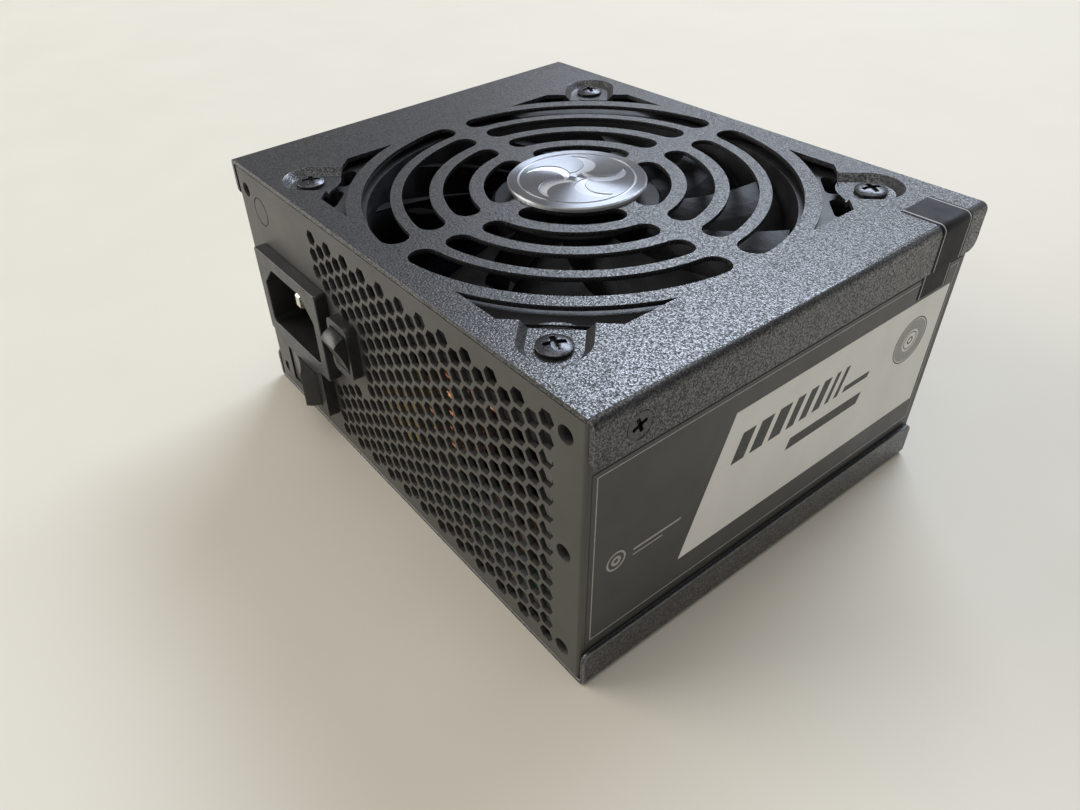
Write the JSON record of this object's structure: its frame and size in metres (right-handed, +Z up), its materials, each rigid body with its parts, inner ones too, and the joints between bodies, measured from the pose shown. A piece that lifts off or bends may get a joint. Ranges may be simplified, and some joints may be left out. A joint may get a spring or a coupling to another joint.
{
  "type": "computer power supply unit",
  "caption": "Small-form-factor computer power supply with a top fan behind a ringed grille, mains inlet, rocker switches, honeycomb vents and modular output sockets.",
  "frame": {"origin": "middle of the housing's underside", "axes": "+Z up towards the fan, the inlet panel faces -Y, the output panel faces +Y, +X to the right when looking at the inlet panel"},
  "size_m": [0.1251, 0.1066, 0.0645],
  "materials": {
    "cover_paint": "textured powder coat",
    "frame_paint": "satin powder coat",
    "panel_paint": "satin powder coat",
    "black_screw": "black oxide",
    "rivet": "satin",
    "badge_metal": "spun",
    "label_film": "satin film",
    "label_print": "satin print",
    "rating_film": "matt print",
    "seal_film": "gloss film",
    "inlet_plastic": "moulded",
    "contact_metal": "nickel plated",
    "switch_plastic": "moulded",
    "rocker_plastic": "moulded",
    "mode_rocker_plastic": "moulded",
    "fan_plastic": "moulded",
    "blade_plastic": "satin",
    "magnet": "matt",
    "shaft_steel": "ground",
    "bearing_bronze": "sintered",
    "core_steel": "laminated",
    "copper": "enamelled wire",
    "board_laminate": "solder mask",
    "standoff_brass": "turned",
    "bright_screw": "zinc plated",
    "insulation": "film",
    "heatsink": "extruded",
    "capacitor_sleeve": "shrink sleeve",
    "capacitor_can": "satin",
    "ferrite": "matt",
    "coated_core": "epoxy coat",
    "tape": "polyester tape",
    "film_case": "moulded",
    "disc_coat": "epoxy coat",
    "component_epoxy": "moulded",
    "socket_nylon": "moulded",
    "busbar_copper": "tinned copper",
    "pin_metal": "plated",
    "brown_insulation": "extruded",
    "blue_insulation": "extruded",
    "earth_insulation": "extruded",
    "lead_sleeve": "extruded"
  },
  "bodies": {
    "housing": {"top_cover": "cover_paint", "main_frame": "frame_paint", "bottom_tray": "cover_paint", "output_panel": "panel_paint", "cover_screws": "black_screw", "tray_screws": "black_screw", "panel_rivets": "rivet", "fan_screws": "black_screw", "badge": "badge_metal", "side_label": "label_film", "side_label_panel": "label_print", "rating_label": "rating_film", "warranty_seal": "seal_film", "inlet_housing": "inlet_plastic", "inlet_pins": "contact_metal", "power_switch_frame": "switch_plastic", "power_switch_contacts": "contact_metal", "mode_switch_frame": "switch_plastic", "mode_switch_contacts": "contact_metal", "fan_frame": "fan_plastic", "fan_bearing": "bearing_bronze", "fan_stator": "core_steel", "fan_coils": "copper", "fan_board": "board_laminate", "fan_lead": "lead_sleeve", "main_board": "board_laminate", "board_standoffs": "standoff_brass", "board_screws": "bright_screw", "insulation_sheet": "insulation", "primary_heatsink": "heatsink", "secondary_heatsink": "heatsink", "bulk_capacitors": "capacitor_sleeve", "transformer_core": "ferrite", "transformer_winding": "tape", "boost_choke_core": "coated_core", "boost_choke_winding": "copper", "filter_choke_core": "coated_core", "filter_choke_winding": "copper", "filter_choke_base": "socket_nylon", "film_capacitors": "film_case", "disc_capacitors": "disc_coat", "bridge_rectifier": "component_epoxy", "power_transistors": "component_epoxy", "output_capacitors": "capacitor_can", "standby_transformer": "tape", "control_board": "board_laminate", "socket_board": "board_laminate", "busbars": "busbar_copper", "motherboard_sockets": "socket_nylon", "eight_pin_sockets": "socket_nylon", "six_pin_socket": "socket_nylon", "socket_pins": "pin_metal", "live_wires": "brown_insulation", "neutral_wire": "blue_insulation", "earth_wire": "earth_insulation"},
    "fan_wheel": {"fan_rotor": "blade_plastic", "fan_magnet": "magnet", "fan_shaft": "shaft_steel"},
    "power_rocker": {"power_switch_rocker": "rocker_plastic"},
    "mode_rocker": {"mode_switch_rocker": "mode_rocker_plastic"}
  },
  "joints": [
    {"name": "fan_spin", "type": "hinge", "parent": "housing", "child": "fan_wheel", "pos_m": [0.0025, 0, 0.05], "axis": [0, 0, 1], "continuous": true},
    {"name": "power_switch", "type": "hinge", "parent": "housing", "child": "power_rocker", "pos_m": [-0.0372, -0.0504, 0.0153], "axis": [0, 0, 1], "range_deg": [0, 32]},
    {"name": "mode_switch", "type": "hinge", "parent": "housing", "child": "mode_rocker", "pos_m": [-0.0136, -0.0513, 0.0359], "axis": [-1, 0, 0], "range_deg": [0, 40]}
  ]
}
